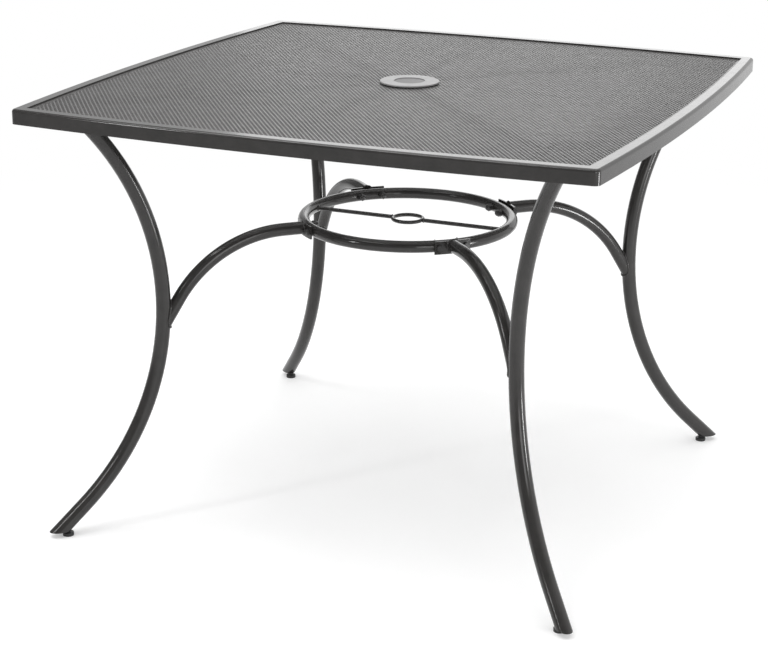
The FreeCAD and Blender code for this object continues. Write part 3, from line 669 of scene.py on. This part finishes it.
def add_floor():
    """A pale floor that takes the table's shadow, and is plain white to the eye further out."""
    half = FLOOR_HALF
    mesh = bpy.data.meshes.new("floor")
    corners = [(-half, -half, 0), (half, -half, 0), (half, half, 0), (-half, half, 0)]
    mesh.from_pydata(corners, [], [(0, 1, 2, 3)])
    floor = bpy.data.objects.new("floor", mesh)
    bpy.context.scene.collection.objects.link(floor)
    material, tree, shader = new_material("studio_floor")
    shader.inputs["Base Color"].default_value = FLOOR_COLOUR
    shader.inputs["Roughness"].default_value = FLOOR_ROUGHNESS
    shader.inputs["Specular IOR Level"].default_value = 0.0
    place = tree.nodes.new("ShaderNodeTexCoord").outputs["Object"]
    reach = tree.nodes.new("ShaderNodeVectorMath")
    reach.operation = "LENGTH"
    tree.links.new(place, reach.inputs[0])
    fade = map_range(
        tree, reach.outputs["Value"], FLOOR_LIT_REACH, FLOOR_WHITE_REACH, 0, 1, smooth=True)
    near_side = map_range(
        tree, towards_bright_side(tree, place), DIM_FLOOR_END, BRIGHT_FLOOR_END,
        DIM_FLOOR_LEVEL, 1, smooth=True)
    seen = seen_level(tree, near_side, 0)
    unlit = tree.nodes.new("ShaderNodeMixShader")
    tree.links.new(math_node(tree, "MULTIPLY", fade, seen), unlit.inputs["Fac"])
    tree.links.new(shader.outputs["BSDF"], unlit.inputs[1])
    glow = tree.nodes.new("ShaderNodeEmission")
    strength = map_range(tree, fade, 0, 1, FLOOR_LIFT, 1)
    tree.links.new(math_node(tree, "MULTIPLY", strength, seen), glow.inputs["Strength"])
    both = tree.nodes.new("ShaderNodeAddShader")
    tree.links.new(unlit.outputs["Shader"], both.inputs[0])
    tree.links.new(glow.outputs["Emission"], both.inputs[1])
    tree.links.new(both.outputs["Shader"], tree.nodes["Material Output"].inputs["Surface"])
    mesh.materials.append(material)


WATTS_FOR_WHITE = 4


def add_softbox(name, place, target, width, height, brightness):
    """A softbox of so many times the brightness of a white that is fully lit."""
    data = bpy.data.lights.new(name, "AREA")
    data.shape = "RECTANGLE"
    data.size = width
    data.size_y = height
    data.energy = brightness * WATTS_FOR_WHITE * width * height
    light = bpy.data.objects.new(name, data)
    bpy.context.scene.collection.objects.link(light)
    light.location = place
    light.rotation_mode = "QUATERNION"
    light.rotation_quaternion = (Vector(target) - Vector(place)).to_track_quat("-Z", "Y")


AMBIENT = 0.6
DIM_WALL_LEVEL = 0.3
DIM_WALL_END = -0.2
BRIGHT_WALL_END = 0.75


def add_world():
    """White behind the table and dimmer in front for a gloss, white all round for the eye."""
    world = bpy.data.worlds.new("studio")
    world.use_nodes = True
    tree = world.node_tree
    background = tree.nodes["Background"]
    background.inputs["Color"].default_value = (1, 1, 1, 1)
    direction = tree.nodes.new("ShaderNodeTexCoord").outputs["Generated"]
    wall = map_range(
        tree, towards_bright_side(tree, direction), DIM_WALL_END, BRIGHT_WALL_END,
        DIM_WALL_LEVEL, 1, smooth=True)
    level = seen_level(tree, wall, AMBIENT)
    tree.links.new(level, background.inputs["Strength"])
    bpy.context.scene.world = world


# Each softbox: its place, its width and height, and its brightness.
# The right_light stays below the table's top, where the mesh can't mirror it.

SOFTBOX_TARGET = (0, 0, 0.6)
SOFTBOXES = {
    "top_light": ((0, 0.2, 4.0), 4.0, 4.0, 1.35),
    "front_top_strip": ((-1.0, -1.3, 3.0), 2.4, 0.3, 8),
    "back_light": ((-1.4, 4.4, 2.3), 2.2, 2.4, 0.9),
    "right_light": ((2.4, -0.2, 0.38), 0.3, 0.66, 18),
    "front_right_light": ((2.4, -2.6, 1.0), 1.4, 1.4, 2.2),
    "front_left_strip": ((-1.7, -2.4, 1.7), 0.15, 0.9, 20),
}


def build_studio():
    """The world, the floor and the lights."""
    add_world()
    add_floor()
    for name, (place, width, height, brightness) in SOFTBOXES.items():
        add_softbox(name, place, SOFTBOX_TARGET, width, height, brightness)
    bpy.context.scene.view_settings.view_transform = "Standard"


finish_frame()
mesh_panels()
mesh_border()
leg_and_ring_seams()
gusset_seams()
under_top_seams()
build_studio()
add_camera()
